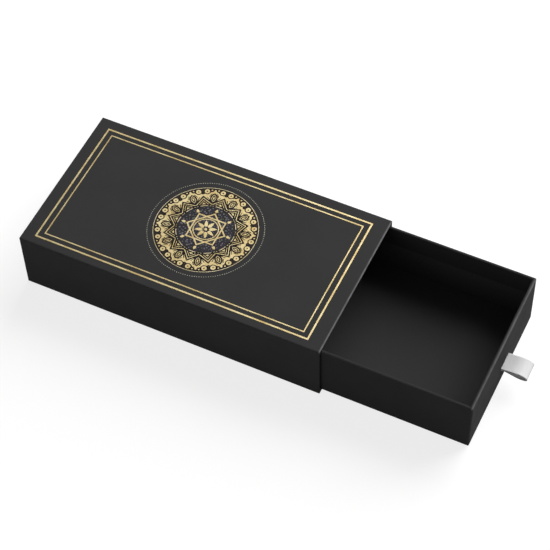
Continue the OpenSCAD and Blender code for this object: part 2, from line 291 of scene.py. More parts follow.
@dataclass(frozen=True)
class SoftTouchPaper:
    """Black cover paper under a matt soft-touch film: dull, faintly mottled, paler at its folds, partly from
    rubbing and partly as painted highlight.

    Attributes:
        name: The material's name.
        box: The shell that it covers.
        open_edge_wear_and_highlight: The film on the upper edge at the open end, paler: partly rubbing where
            fingers take hold, partly painted highlight where that edge catches the lamp.
        open_edge_mm: How far that reaches.
        colour: The paper; the drawer's is painted darker, as painted shade.
        cloud: The paper in the film's clouds.
        fold_wear_and_highlight: The film on the other folds, paler: partly rubbing, partly painted highlight
            on the rounded edges.
        fold_mm: How far that reaches.
        roughness: Gloss of the film between smears.
        cloud_mm: Size of the clouds.
        scuff_mm: Size of the breaks in the rubbing.
        smear_mm: Size of the smears that hands leave.
        grain_mm: Spacing of the film's orange peel, drawn coarser than the real 0.1 mm so it shows.
        fibre_mm: Spacing of the paper's fibres.
    """

    name: str
    box: EdgeBox
    open_edge_wear_and_highlight: str
    open_edge_mm: float
    colour: str = "#393939"
    cloud: str = "#3c3c3c"
    fold_wear_and_highlight: str = "#464646"
    fold_mm: float = 0.8
    roughness: float = 0.75
    cloud_mm: float = 35.7
    scuff_mm: float = 6.25
    smear_mm: float = 15.4
    grain_mm: float = 0.35
    fibre_mm: float = 1.0

    def material(self) -> Material:
        """Builds the material."""
        material, tree = new_material(self.name)
        place = node(tree, "ShaderNodeTexCoord").outputs["Object"]
        cloud, scuff, smear, peel = (
            node(tree, "ShaderNodeTexNoise", {"Vector": place, "Scale": per_mm(size), "Detail": detail})
            for size, detail in (
                (self.cloud_mm, 3.0), (self.scuff_mm, 5.0), (self.smear_mm, 4.0), (self.grain_mm, 2.0)
            )
        )
        smear.inputs["Distortion"].default_value = 0.6
        colour = two_tone(tree, cloud, (0.3, 0.7), self.colour, self.cloud)
        broken = node(tree, MAP_RANGE, {0: scuff, 1: 0.35, 2: 0.65, 3: 0.6, 4: 1.0})
        # The folds and the open edge are painted paler: partly rubbing, partly painted highlight on the
        # rounded edges.
        for distance, reach_mm, edge_wear_and_highlight in (
            (self.box.edge_distance(tree, place), self.fold_mm, self.fold_wear_and_highlight),
            (self.box.open_edge_distance(tree, place), self.open_edge_mm, self.open_edge_wear_and_highlight),
        ):
            reach = {0: distance, 1: reach_mm * MM, 2: 0.0}
            near = node(tree, MAP_RANGE, reach, interpolation_type="SMOOTHSTEP")
            wear_and_highlight_share = node(tree, MATH, {0: near, 1: broken}, operation="MULTIPLY")
            film = {0: wear_and_highlight_share, MIX_A: colour, MIX_B: linear(edge_wear_and_highlight)}
            colour = node(tree, "ShaderNodeMix", film, data_type="RGBA").outputs[MIX_RESULT]
        dull, duller = self.roughness - 0.04, self.roughness + 0.05
        gloss = node(tree, MAP_RANGE, {0: smear, 1: 0.3, 2: 0.7, 3: dull, 4: duller})
        fibre = node(tree, "ShaderNodeTexVoronoi", {"Vector": place, "Scale": per_mm(self.fibre_mm)})
        height = node(tree, MATH, {0: fibre, 1: 0.4, 2: peel}, operation="MULTIPLY_ADD")
        inputs = {"Base Color": colour, "Roughness": gloss, "Specular IOR Level": 0.02}
        shade(tree, inputs, height, 0.25, 0.02)
        return material


@dataclass(frozen=True)
class HotFoil:
    """Gold hot-stamping foil: a bright metallised film that keeps a little of the paper's grain.

    Attributes:
        name: The material's name.
        colour: The lacquer over the metal.
        deep: The lacquer where it is thickest.
        roughness: Gloss of the stamped film.
        streak_mm: Size of the streaks in the lacquer.
        grain_mm: Spacing of the grain pressed through from the paper.
    """

    name: str
    colour: str = "#b9ab82"
    deep: str = "#a18c5e"
    roughness: float = 0.46
    streak_mm: float = 8.33
    grain_mm: float = 0.3

    def material(self) -> Material:
        """Builds the material."""
        material, tree = new_material(self.name)
        place = node(tree, "ShaderNodeTexCoord").outputs["Object"]
        streak, grain = (
            node(tree, "ShaderNodeTexNoise", {"Vector": place, "Scale": per_mm(size), "Detail": 3.0})
            for size in (self.streak_mm, self.grain_mm)
        )
        bright, dull = self.roughness - 0.08, self.roughness + 0.08
        gloss = node(tree, MAP_RANGE, {0: grain, 1: 0.3, 2: 0.7, 3: bright, 4: dull})
        colour = two_tone(tree, streak, (0.35, 0.7), self.colour, self.deep)
        shade(tree, {"Base Color": colour, "Roughness": gloss, "Metallic": 1.0}, grain, 0.2, 0.01)
        return material


@dataclass(frozen=True)
class Mottled:
    """A dull surface of two near colours, whose one grain also gives its relief.

    Attributes:
        name: The material's name.
        colour: Its main colour.
        fleck: Colour of the flecks.
        fleck_mm: Size of the flecks.
        detail: Finer layers in the grain.
        span: The grain where the flecks begin and are full.
        roughness: Its gloss.
        specular: Its specular level.
        strength: How much of the relief shows.
        depth_mm: Depth of the relief.
    """

    name: str
    colour: str
    fleck: str
    fleck_mm: float
    detail: float
    span: Vec2
    roughness: float
    specular: float
    strength: float
    depth_mm: float

    def material(self) -> Material:
        """Builds the material."""
        material, tree = new_material(self.name)
        place = node(tree, "ShaderNodeTexCoord").outputs["Object"]
        pattern = {"Vector": place, "Scale": per_mm(self.fleck_mm), "Detail": self.detail}
        grain = node(tree, "ShaderNodeTexNoise", pattern)
        colour = two_tone(tree, grain, self.span, self.colour, self.fleck)
        inputs = {"Base Color": colour, "Roughness": self.roughness, "Specular IOR Level": self.specular}
        shade(tree, inputs, grain, self.strength, self.depth_mm)
        return material


@dataclass(frozen=True)
class LiningPaper(Mottled):
    """Dyed black lining paper, uncoated: dead matt, with short fibres that catch a little light.

    The fibres are drawn coarser than real so that they show.
    """

    name: str = "dyed_lining_paper"
    colour: str = "#343434"
    fleck: str = "#3e3e3e"
    fleck_mm: float = 0.5
    detail: float = 5.0
    span: Vec2 = (0.45, 0.75)
    roughness: float = 0.85
    specular: float = 0.15
    strength: float = 0.35
    depth_mm: float = 0.03


@dataclass(frozen=True)
class Ink(Mottled):
    """Matt offset ink on the paper: a thin, even, warmer or cooler black, with patches that took more."""

    fleck_mm: float = 1.11
    detail: float = 3.0
    span: Vec2 = (0.4, 0.65)
    roughness: float = 0.6
    specular: float = 0.12
    strength: float = 0.2
    depth_mm: float = 0.01


@dataclass(frozen=True)
class PulpBoard(Mottled):
    """Recycled pulp, for greyboard and kraft tape: matt, with paler and darker flecks of old paper."""

    fleck_mm: float = 0.9
    detail: float = 6.0
    span: Vec2 = (0.5, 0.72)
    roughness: float = 0.92
    specular: float = 0.5
    strength: float = 0.4
    depth_mm: float = 0.05


@dataclass(frozen=True)
class SatinWeave:
    """Polyester satin ribbon: long warp floats that shine along the strip, between two firm selvedges.

    Attributes:
        name: The material's name.
        colour: The yarn.
        shade: The yarn down between two floats, darker as painted shade in the weave's hollows.
        warp_mm: Spacing of the warp, drawn coarser than the real 0.1 mm so it shows.
        weft_mm: Spacing of the stitches that tie the warp down.
        uv_map: The map that holds millimetres along and across the strip.
    """

    name: str = "satin_ribbon_weave"
    colour: str = "#dedede"
    shade: str = "#c4c4c4"
    warp_mm: float = 0.28
    weft_mm: float = 0.42
    uv_map: str = "strip_mm"

    def material(self) -> Material:
        """Builds the material."""
        material, tree = new_material(self.name)
        strip = node(tree, "ShaderNodeUVMap", uv_map=self.uv_map)
        along, across, _ = node(tree, "ShaderNodeSeparateXYZ", {0: strip}).outputs
        weft, warp = self._threads(tree, along, self.weft_mm), self._threads(tree, across, self.warp_mm)
        height = node(tree, MATH, {0: weft, 1: 0.35, 2: warp}, operation="MULTIPLY_ADD")
        # The hollows between the threads are painted darker: painted shade.
        colour = two_tone(tree, height, (1.2, 0.0), self.colour, self.shade)
        inputs = {"Base Color": colour, "Roughness": 0.5, "Sheen Weight": 0.25, "Sheen Roughness": 0.4}
        shade(tree, inputs, height, 0.35, 0.03)
        return material

    def _threads(self, tree: Tree, place: Socket, spacing: float) -> Node:
        """Returns a height from 0 to 1 that rises and falls once in each thread spacing, in millimetres."""
        turn = node(tree, MATH, {0: place, 1: math.pi / spacing}, operation="MULTIPLY")
        wave = node(tree, MATH, {0: turn}, operation="SINE")
        return node(tree, MATH, {0: wave}, operation="ABSOLUTE")


@dataclass
class Finishes:
    """The finishes of the box, each made once."""

    sleeve_paper: Material
    drawer_paper: Material
    lining: Material
    foil: Material
    line_foil: Material
    dot_foil: Material
    board: Material
    tape: Material
    ribbon: Material

    @classmethod
    def make(cls) -> "Finishes":
        """Builds every material."""
        sleeve, drawer = EdgeBox.of("sleeve_wrap"), EdgeBox.of("tray_wrap")
        return cls(
            sleeve_paper=SoftTouchPaper("soft_touch_paper_sleeve", sleeve, "#808080", 1.2).material(),
            # The drawer's paper is the sleeve's paper painted darker: painted shade, so that the drawer's
            # front renders darker.
            drawer_paper=SoftTouchPaper(
                "soft_touch_paper_drawer", drawer, "#686868", 1.5, colour="#333333", cloud="#363636"
            ).material(),
            lining=LiningPaper().material(),
            foil=HotFoil("gold_hot_foil").material(),
            line_foil=HotFoil("gold_hot_foil_thin", "#b7ac90", "#9c9069").material(),
            dot_foil=HotFoil("grey_gold_hot_foil", "#929087", "#7b786d").material(),
            board=PulpBoard("greyboard", "#8c8577", "#a39b8b").material(),
            tape=PulpBoard("kraft_tape", "#a08763", "#8a7050", fleck_mm=0.5).material(),
            ribbon=SatinWeave().material(),
        )


@dataclass
class Sleeve:
    """The outer shell: boards, covering paper, lining and foil, all carried over from CAD.

    Attributes:
        boards: Its greyboard panels.
        linings: Its lining and its let-in sheets.
        foils: The foil on its lid, apart from the ornament's rings and dots, where it is stamped thinner.
    """

    boards: tuple[str, ...] = (
        "sleeve_top_board", "sleeve_base_board", "sleeve_near_board", "sleeve_far_board", "sleeve_back_board",
    )
    linings: tuple[str, ...] = ("sleeve_lining", "sleeve_base_sheet", "sleeve_back_sheet")
    foils: tuple[str, ...] = (
        "foil_outer_frame", "foil_inner_frame", "foil_petals", "foil_pearls", "foil_star",
    )

    def dress(self, finishes: Finishes) -> None:
        """Gives the sleeve's CAD nodes their finishes."""
        dress_nodes(self.boards, finishes.board)
        dress_nodes(self.linings, finishes.lining)
        dress_nodes(self.foils, finishes.foil)
        dress_nodes(("foil_rings",), finishes.line_foil)
        dress_nodes(("foil_dots",), finishes.dot_foil)
        dress_nodes(("sleeve_wrap",), finishes.sleeve_paper)


def dress_nodes(names: Sequence[str], material: Material) -> None:
    """Gives CAD nodes one material and reports each.

    Args:
        names: The nodes.
        material: Their finish.
    """
    for name in names:
        paint(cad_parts[name], material)
        LOG.info("%s: %s", name, material.name)


@dataclass
class EndPly:
    """The covering paper's end flap: up an end board, over the rim and down inside.

    Attributes:
        end: Which end of the drawer it covers.
        paper_t: Thickness of the ply.
        edge_r: Radius of the covered edges.
        rim_r: Inside radius of the rim.
        wall_t: Thickness of the finished wall.
        setback: How far its cut edges stay from the corners.
        inner_gap: How far they stay from the inside corners.
        turn_in: How far it reaches down inside.
        under: How far it reaches along the underside.
        bend_steps: Facets of a quarter bend.
        face_steps: Facets up the flat face.
    """

    end: End
    paper_t: float = 0.09 * MM
    edge_r: float = 0.8 * MM
    rim_r: float = 0.6 * MM
    wall_t: float = 1.9 * MM
    setback: float = 0.9 * MM
    inner_gap: float = 0.05 * MM
    turn_in: float = 15 * MM
    under: float = 12 * MM
    bend_steps: int = 8
    face_steps: int = 13

    def build(self) -> Piece:
        """Makes the ply and returns it."""
        low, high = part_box("tray_wrap")
        half, height = (high.y - low.y) / 2, high.z - low.z
        outer, inner = half - self.setback, half - self.wall_t - self.inner_gap
        edge, rim = self.edge_r, self.rim_r
        # Depth from the end face, height, turn of the paper's outside in degrees, and half width
        stations = [(self.under, 0.0, -90.0, outer)]
        stations += self._bend(edge, edge, edge, -90, outer)
        rise = (height - 2 * edge) / self.face_steps
        stations += [(0.0, edge + rise * k, 0.0, outer) for k in range(1, self.face_steps)]
        stations += self._bend(edge, height - edge, edge, 0, outer)
        stations += self._bend(self.wall_t - rim, height - rim, rim, 90, inner)
        stations.append((self.wall_t, height - self.turn_in, 180.0, inner))
        sign = self.end.value
        face = high.x if self.end is End.FRONT else low.x
        rings = []
        for depth, up, turn, wide in stations:
            nx, nz = math.cos(math.radians(turn)), math.sin(math.radians(turn))
            sides = (-wide, wide, wide, -wide)
            inside, outside = (
                (face - sign * (depth - nx * lift), low.z + up + nz * lift) for lift in (0.0, self.paper_t)
            )
            rings.append([(x, y, z) for (x, z), y in zip((inside,) * 2 + (outside,) * 2, sides)])
        return swept(f"drawer_{self.end.name.lower()}_flap", rings, smooth=False)

    def _bend(self, depth: float, up: float, radius: float, start: float, wide: float) -> list[Station]:
        """Lists the stations of a quarter bend round a middle, from the turn at which it starts."""
        turns = [start + 90 * k / self.bend_steps for k in range(self.bend_steps + 1)]
        return [
            (depth - radius * math.cos(math.radians(t)), up + radius * math.sin(math.radians(t)), t, wide)
            for t in turns
        ]


def cut_slit(piece: Piece, low: Vector, high: Vector) -> None:
    """Cuts a box out of a piece.

    Args:
        piece: The piece to cut.
        low: Lowest corner of the box.
        high: Highest corner of the box.
    """
    around = ((low.y, low.z), (high.y, low.z), (high.y, high.z), (low.y, high.z))
    cutter = swept("slit_cutter", [[(x, y, z) for y, z in around] for x in (low.x, high.x)], smooth=False)
    modifier = piece.modifiers.new("slit", "BOOLEAN")
    modifier.operation, modifier.solver, modifier.object = "DIFFERENCE", "EXACT", cutter
    cut = bpy.data.meshes.new_from_object(piece.evaluated_get(bpy.context.evaluated_depsgraph_get()))
    piece.modifiers.clear()
    piece.data = cut
    bpy.data.objects.remove(cutter)


@dataclass
class Drawer:
    """The drawer: boards, tape, covering paper and lining from CAD, and the end flaps of its covering paper.

    Attributes:
        boards: Its greyboard panels.
        slit_gap: Clearance beside the ribbon where it comes through the front flap.
        slit_h: Height of that slit.
        slit_reach: How far the cut reaches either side of the drawer's face.
    """

    boards: tuple[str, ...] = (
        "tray_base_board", "tray_front_board", "tray_back_board", "tray_near_board", "tray_far_board",
    )
    slit_gap: float = 0.1 * MM
    slit_h: float = 1.2 * MM
    slit_reach: float = 0.5 * MM

    def dress(self, finishes: Finishes) -> None:
        """Gives the drawer's CAD nodes their finishes."""
        dress_nodes(self.boards, finishes.board)
        dress_nodes(("tray_corner_stays",), finishes.tape)
        dress_nodes(("tray_lining",), finishes.lining)
        dress_nodes(("tray_wrap",), finishes.drawer_paper)

    def build(self, finishes: Finishes) -> None:
        """Makes the flaps that lap over the drawer's ends."""
        for end in End:
            flap = EndPly(end).build()
            if end is End.FRONT:
                low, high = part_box("ribbon_pull")
                face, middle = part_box("tray_wrap")[1].x, (low.z + high.z) / 2
                half = Vector((self.slit_reach, self.slit_gap, self.slit_h / 2))
                cut_slit(flap, Vector((face, low.y, middle)) - half, Vector((face, high.y, middle)) + half)
            paint(flap, finishes.drawer_paper)
            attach(flap, Body.DRAWER.value)
            LOG.info("%s: %d faces", flap.name, len(flap.data.polygons))


@dataclass
class RibbonPull:
    """The ribbon pull: one strip of satin, doubled through the slit, its tails glued behind the board.

    Attributes:
        thickness: Thickness of the ribbon.
        layer_gap: Gap between its two layers in the slit.
        slit_gap: Clearance round it in the slit.
        tail: Length of each glued tail.
        board: Thickness of the front board.
        paper: Thickness of the covering paper.
        loop: The free loop's path, out from the drawer's face and up from the slit.
        cup: How far the loop's edges stand up.
        flutter: How far the loop wavers off its path.
        wave: Length of one waver.
        ease: Distance from the face over which cup and waver begin.
        profile: Half thickness past each place across, as shares: thin edge, selvedge and middle.
        steps: Sections along a tail, round its bend and through the board.
        spacing: Distance between two sections of the loop.
        columns: Points across the strip.
    """

    thickness: float = 0.4 * MM
    layer_gap: float = 0.2 * MM
    slit_gap: float = 0.1 * MM
    tail: float = 10 * MM
    board: float = 1.5 * MM
    paper: float = 0.2 * MM
    loop: tuple[Vec2, ...] = tuple(
        (out * MM, up * MM)
        for out, up in (
            (0.0, 0.3), (4.0, 0.6), (8.0, 1.1), (11.5, 1.2), (14.2, 0.6), (16.1, -0.5),
            (16.35, -1.6), (14.9, -2.5), (11.4, -2.6), (7.4, -1.75), (3.5, -0.65), (0.0, -0.3),
        )
    )
    cup: float = 0.12 * MM
    flutter: float = 0.08 * MM
    wave: float = 9 * MM
    ease: float = 4 * MM
    profile: tuple[Vec2, ...] = ((0.985, 0.3), (0.9, 0.5), (-1.0, 0.44))
    steps: tuple[int, int, int] = (10, 6, 4)
    spacing: float = 0.25 * MM
    columns: int = 25

    def centreline(self) -> tuple[list[Vec2], float]:
        """Lists the strip's middle from the top of the upper tail round the loop to the lower tail's end.

        Returns:
            Points as depth from the upper tail and height above its top, and the strip's whole length.
        """
        layer = (self.layer_gap + self.thickness) / 2
        bend = self.thickness / 2 + self.slit_gap
        face = self.board + self.paper - self.thickness / 2
        slit = -self.tail - bend - layer
        tail, round_bend, through = self.steps
        upper = [(0.0, -self.tail * k / tail) for k in range(tail)]
        turns = [math.pi / 2 * k / round_bend for k in range(round_bend + 1)]
        upper += [(bend - bend * math.cos(t), -self.tail - bend * math.sin(t)) for t in turns]
        upper += [(bend + (face - bend) * k / through, slit + layer) for k in range(1, through)]
        lower = [(x, 2 * slit - z) for x, z in reversed(upper)]
        free = [(face + x, slit + z) for x, z in self._smooth(self.loop)]
        points = upper + free + lower
        return points, sum(math.dist(a, b) for a, b in zip(points, points[1:]))

    def _smooth(self, knots: Sequence[Vec2]) -> list[Vec2]:
        """Runs a smooth curve through knots, level at both ends."""
        level = Vector((2 * MM, 0.0))
        ends = [Vector(knots[0]) - level, *map(Vector, knots), Vector(knots[-1]) - level]
        points: list[Vec2] = []
        for a, b, c, d in zip(ends, ends[1:], ends[2:], ends[3:]):
            count = math.ceil((c - b).length / self.spacing)
            for k in range(count):
                t = k / count
                spot = b + 0.5 * t * ((c - a) + t * ((2 * a - 5 * b + 4 * c - d) + t * (3 * (b - c) + d - a)))
                points.append((spot.x, spot.y))
        return [*points, knots[-1]]

    def build(self, finishes: Finishes) -> None:
        """Makes the ribbon in place of its CAD solid."""
        low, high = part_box("ribbon_pull")
        points, length = self.centreline()
        width = high.y - low.y
        start = Vector((low.x + self.thickness / 2, (high.y + low.y) / 2, high.z))
        rings, strip = self._sections(points, start, width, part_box("tray_wrap")[1].x)
        piece = swept("ribbon_loop", rings, smooth=True)
        self._map(piece, strip)
        paint(piece, finishes.ribbon)
        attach(piece, Body.DRAWER.value)
        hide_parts("ribbon_pull")
        LOG.info("%s: flat %.1f x %.1f mm", piece.name, width / MM, length / MM)

    def _sections(
        self, points: Sequence[Vec2], start: Vector, width: float, face: float
    ) -> tuple[list[list[Vec3]], list[Vec2]]:
        """Sets the strip's section along its centreline.

        Args:
            points: The centreline.
            start: Where it begins.
            width: The strip's width.
            face: X of the drawer's face.

        Returns:
            The sections, and millimetres along and across the strip for each point.
        """
        places = [2 * k / (self.columns - 1) - 1 for k in range(self.columns)]
        section = [(across, 1) for across in places] + [(across, -1) for across in reversed(places)]
        rings: list[list[Vec3]] = []
        strip: list[Vec2] = []
        travelled = 0.0
        for i, (x, z) in enumerate(points):
            before, after = points[max(i - 1, 0)], points[min(i + 1, len(points) - 1)]
            travelled += math.dist(before, (x, z))
            along = Vector(after) - Vector(before)
            out_x, out_z = Vector((-along.y, along.x)).normalized()
            free = min(1.0, max(0.0, (start.x + x - face) / self.ease))
            rings.append([])
            for across, side in section:
                lift = side * self._half(across) + free * self._sway(travelled, across)
                y = across * width / 2
                rings[-1].append((start.x + x + out_x * lift, start.y + y, start.z + z + out_z * lift))
                strip.append((travelled / MM, y / MM))
        return rings, strip

    def _half(self, across: float) -> float:
        """Returns half the thickness at a place across the strip."""
        return self.thickness * next(share for past, share in self.profile if abs(across) > past)

    def _sway(self, along: float, across: float) -> float:
        """Returns how far the free loop bows and flutters off its path, in metres."""
        waver = noise.noise(Vector((along / self.wave, across * 0.8, 3.1)))
        return self.cup * (across * across - 0.4) + self.flutter * waver

    def _map(self, piece: Piece, strip: Sequence[Vec2]) -> None:
        """Writes millimetres along and across the strip to the piece's UV map."""
        layer = piece.data.uv_layers.new(name=SatinWeave.uv_map)
        for loop in piece.data.loops:
            layer.data[loop.index].uv = strip[loop.vertex_index]


@dataclass
class LidPrint:
    """Ink on the lid: a warm black ring, a cool black middle with pale stipple, and lines on the band's foil.

    Attributes:
        ring_d: Diameter of the warm ring.
        core_d: Diameter of the cool middle.
        ink_t: Thickness of the ink, thicker than real so that it clears the paper.
        sides: Facets round each disc.
        dots: Dots of the stipple.
        dot_pitch: Radius step of its spiral.
        dot_jitter: How far a dot may stand off the spiral.
        dot_r: Radius of a dot.
        dot_sides: Facets round a dot.
        dot_scale: Least and greatest share of that radius.
        seed: Seed of their places and sizes.
    """

    ring_d: float = 63.4 * MM
    core_d: float = 36.0 * MM
    ink_t: float = 0.012 * MM
    sides: int = 128
    dots: int = 290
    dot_pitch: float = 0.98 * MM
    dot_jitter: float = 0.5 * MM
    dot_r: float = 0.55 * MM
    dot_sides: int = 8
    dot_scale: Vec2 = (0.4, 1.2)
    seed: int = 7

    def build(self) -> None:
        """Makes the two areas of ink, the stipple and the band's lines."""
        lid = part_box("sleeve_wrap")[1].z
        warm = Ink("warm_black_ink", "#1f1b19", "#2a2420").material()
        cool = Ink("cool_black_ink", "#252327", "#302e33").material()
        pale = Ink("pale_grey_ink", "#626a62", "#706474", roughness=0.5).material()
        for piece, ink in (
            (self._disc("ink_ring", self.ring_d / 2, self.core_d / 2, lid), warm),
            (self._disc("ink_core", self.core_d / 2, 0.0, lid), cool),
            (self._stipple(lid + self.ink_t, pale), pale),
            (BandLines().build(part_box("foil_petals")[1].z, self.ink_t, warm), warm),
        ):
            paint(piece, ink)
            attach(piece, Body.SLEEVE.value)
            LOG.info("%s: %d faces", piece.name, len(piece.data.polygons))

    def _disc(self, name: str, outer: float, inner: float, lid: float) -> Piece:
        """Makes a flat ring or disc of ink on the lid.

        Args:
            name: The piece's name.
            outer: Its outer radius.
            inner: Its inner radius, or 0 for a whole disc.
            lid: Height of the lid.

        Returns:
            The piece.
        """
        turns = [math.tau * k / self.sides for k in range(self.sides)]
        verts = [
            (radius * math.cos(t), radius * math.sin(t), height)
            for height in (lid, lid + self.ink_t)
            for radius in (inner, outer)
            for t in turns
        ]
        low_in, low_out, top_in, top_out = (range(k * self.sides, (k + 1) * self.sides) for k in range(4))
        walls = [(low_in, low_out), (low_out, top_out), (top_out, top_in)]
        if inner:
            walls.append((top_in, low_in))
        faces = [(a[k - 1], a[k], b[k], b[k - 1]) for a, b in walls for k in range(self.sides)]
        piece = mesh_piece(name, verts, faces, smooth=False)
        outward(piece)
        return piece

    def _stipple(self, height: float, ink: Material) -> Piece:
        """Scatters flat dots on a spiral that fills the middle evenly.

        Args:
            height: Height of the ink that they lie on.
            ink: Their material.

        Returns:
            The piece.
        """
        tree = bpy.data.node_groups.new("stipple", "GeometryNodeTree")
        sizes = {"Dots": self.dots, "Pitch": self.dot_pitch, "Dot radius": self.dot_r, "Height": height}
        values = named_inputs(tree, {**sizes, "Seed": self.seed})
        given = node(tree, "NodeGroupInput").outputs
        index = node(tree, "GeometryNodeInputIndex")
        root = node(tree, MATH, {0: index, 1: 0.5}, operation="POWER")
        radius = node(tree, MATH, {0: root, 1: given["Pitch"]}, operation="MULTIPLY")
        angle = node(tree, MATH, {0: index, 1: GOLDEN_ANGLE}, operation="MULTIPLY")
        waves = [node(tree, MATH, {0: angle}, operation=wave) for wave in ("COSINE", "SINE")]
        x, y = (node(tree, MATH, {0: wave, 1: radius}, operation="MULTIPLY") for wave in waves)
        place = node(tree, "ShaderNodeCombineXYZ", {0: x, 1: y, 2: given["Height"]})
        jitter = Vector((self.dot_jitter, self.dot_jitter, 0.0))
        limits = {0: -jitter, 1: jitter, "Seed": given["Seed"]}
        stray = node(tree, "FunctionNodeRandomValue", limits, data_type="FLOAT_VECTOR")
        loose = node(tree, VECTOR_MATH, {0: place, 1: stray})
        points = node(tree, "GeometryNodePoints", {"Count": given["Dots"], "Position": loose})
        shape = {"Vertices": self.dot_sides, "Radius": given["Dot radius"]}
        dot = node(tree, "GeometryNodeMeshCircle", shape, fill_type="NGON")
        limits = {2: self.dot_scale[0], 3: self.dot_scale[1], "Seed": given["Seed"]}
        size = node(tree, "FunctionNodeRandomValue", limits, data_type="FLOAT").outputs[1]
        spread = {"Points": points, "Instance": dot, "Scale": size}
        inked_output(tree, node(tree, "GeometryNodeInstanceOnPoints", spread), self.ink_t, ink)
        return grown("ink_stipple", tree, values)


@dataclass
class BandLines:
    """Warm black ink over the ornament's band of foil, which draws its bare lines wider and adds finer ones.

    One sector, drawn along +X with a leaf on its axis, is repeated round the ornament. Sizes are in
    millimetres, and radii are from the ornament's middle.

    Attributes:
        copies: Number of sectors.
        corner_r: Radius of the outermost zigzag's inner corners, on the axis.
        point_r: Radius of its points, on the sector's sides.
        zigzags: Start and end of each line, inwards from that zigzag.
        leaf_r: Radius of the leaf's middle.
        leaf_l: Its length.
        leaf_w: Its breadth.
        leaf_lines: Start and end of each line, inwards from its outline.
        fans: Ends of each line beside the leaf.
        fan: Width of such a line.
        rings: Inner and outer radius of each ring round the ornament's middle.
        spots: Distance, angle off the axis in degrees, and inner and outer radius of the ring round each
            pearl and speck, and of the disc over the field's low point.
        arcs: Facets of a curve.
    """

    copies: int = 12
    corner_r: float = 20.2
    point_r: float = 25.5
    zigzags: tuple[Vec2, ...] = ((-0.4, 0.6), (1.05, 2.0), (2.3, 3.2))
    leaf_r: float = 24.2
    leaf_l: float = 7.0
    leaf_w: float = 4.0
    leaf_lines: tuple[Vec2, ...] = ((-0.4, 0.6), (0.95, 1.6))
    fans: tuple[tuple[Vec2, Vec2], ...] = (((20.9, 0.9), (24.7, 4.2)), ((25.0, 2.9), (27.6, 1.7)))
    fan: float = 0.5
    rings: tuple[Vec2, ...] = ((18.5, 19.3), (31.5, 31.85))
    spots: tuple[tuple[float, float, float, float], ...] = (
        (28.2, 15.0, 0.05, 1.25),
        (29.32, -9.72, 1.62, 2.3), (30.37, -3.96, 0.53, 1.55),
        (29.32, 9.72, 1.62, 2.3), (30.37, 3.96, 0.53, 1.55),
    )
    arcs: int = 16

    def build(self, height: float, ink_t: float, ink: Material) -> Piece:
        """Makes the lines.

        Args:
            height: Height of the foil under them.
            ink_t: Thickness of the ink.
            ink: Their material.

        Returns:
            The piece.
        """
        verts: list[Vec3] = []
        faces: list[tuple[int, ...]] = []
        for inner, outer in self._bands():
            first = len(verts)
            verts += [(x * MM, y * MM, height) for pair in zip(inner, outer) for x, y in pair]
            faces += [(k, k + 1, k + 3, k + 2) for k in range(first, len(verts) - 2, 2)]
        sector = bpy.data.meshes.new("band_sector")
        sector.from_pydata(verts, [], faces)
        tree = bpy.data.node_groups.new("band_lines", "GeometryNodeTree")
        tree.interface.new_socket(name="Sector", in_out="INPUT", socket_type="NodeSocketGeometry")
        values = named_inputs(tree, {"Copies": self.copies})
        given = node(tree, "NodeGroupInput").outputs
        place = node(tree, MATH, {0: node(tree, "GeometryNodeInputIndex"), 1: 0.5})
        step = node(tree, MATH, {0: math.tau, 1: given["Copies"]}, operation="DIVIDE")
        turn = node(tree, MATH, {0: place, 1: step}, operation="MULTIPLY")
        spin = node(tree, "ShaderNodeCombineXYZ", {2: turn})
        points = node(tree, "GeometryNodePoints", {"Count": given["Copies"]})
        spread = {"Points": points, "Instance": given["Sector"], "Rotation": spin}
        inked_output(tree, node(tree, "GeometryNodeInstanceOnPoints", spread), ink_t, ink)
        return grown("ink_band_lines", tree, values, sector)

    def _bands(self) -> list[tuple[list[Vec2], list[Vec2]]]:
        """Lists the two sides of every line of the sector."""
        half = math.pi / self.copies
        bands = [(self._zigzag(start, half), self._zigzag(end, half)) for start, end in self.zigzags]
        for start, end in self.leaf_lines:
            bands += [(self._leaf(start, side), self._leaf(end, side)) for side in (-1, 1)]
        for near, far in self.fans:
            lean = (Vector(far) - Vector(near)).normalized() * self.fan / 2
            for side in (-1, 1):
                edges = [[(x - w * lean.y, side * (y + w * lean.x)) for x, y in (near, far)] for w in (-1, 1)]
                bands.append(tuple(edges))
        arcs = [(Vector((0.0, 0.0)), -half, half, ring) for ring in self.rings]
        for out, turn, *ring in self.spots:
            arcs.append((Matrix.Rotation(math.radians(turn), 2) @ Vector((out, 0.0)), 0.0, math.tau, ring))
        for middle, start, end, ring in arcs:
            bands.append(tuple(self._arc(middle, radius, start, end) for radius in ring))
        return bands

    def _zigzag(self, inset: float, half: float) -> list[Vec2]:
        """Returns the zigzag between two of its points, drawn in by an inset."""
        lean = math.atan2(self.point_r * math.sin(half), self.point_r * math.cos(half) - self.corner_r)
        corner = self.corner_r - inset / math.sin(lean)
        point = self.point_r - inset / math.sin(lean - half)
        x, y = point * math.cos(half), point * math.sin(half)
        return [(x, -y), (corner, 0.0), (x, y)]

    def _leaf(self, inset: float, side: int) -> list[Vec2]:
        """Returns one side of the leaf's outline, drawn in by an inset."""
        rise = self.leaf_w / 2
        radius = (self.leaf_l**2 / 4 + rise**2) / (2 * rise)
        reach = math.sqrt((radius - inset) ** 2 - (radius - rise) ** 2)
        points = []
        for k in range(self.arcs + 1):
            x = reach * (2 * k / self.arcs - 1)
            y = math.sqrt(max((radius - inset) ** 2 - x * x, 0.0)) - (radius - rise)
            points.append((self.leaf_r + x, side * y))
        return points

    def _arc(self, middle: Vector, radius: float, start: float, end: float) -> list[Vec2]:
        """Returns points along an arc, between two angles in radians."""
        turns = [start + (end - start) * k / self.arcs for k in range(self.arcs + 1)]
        return [(middle.x + radius * math.cos(t), middle.y + radius * math.sin(t)) for t in turns]


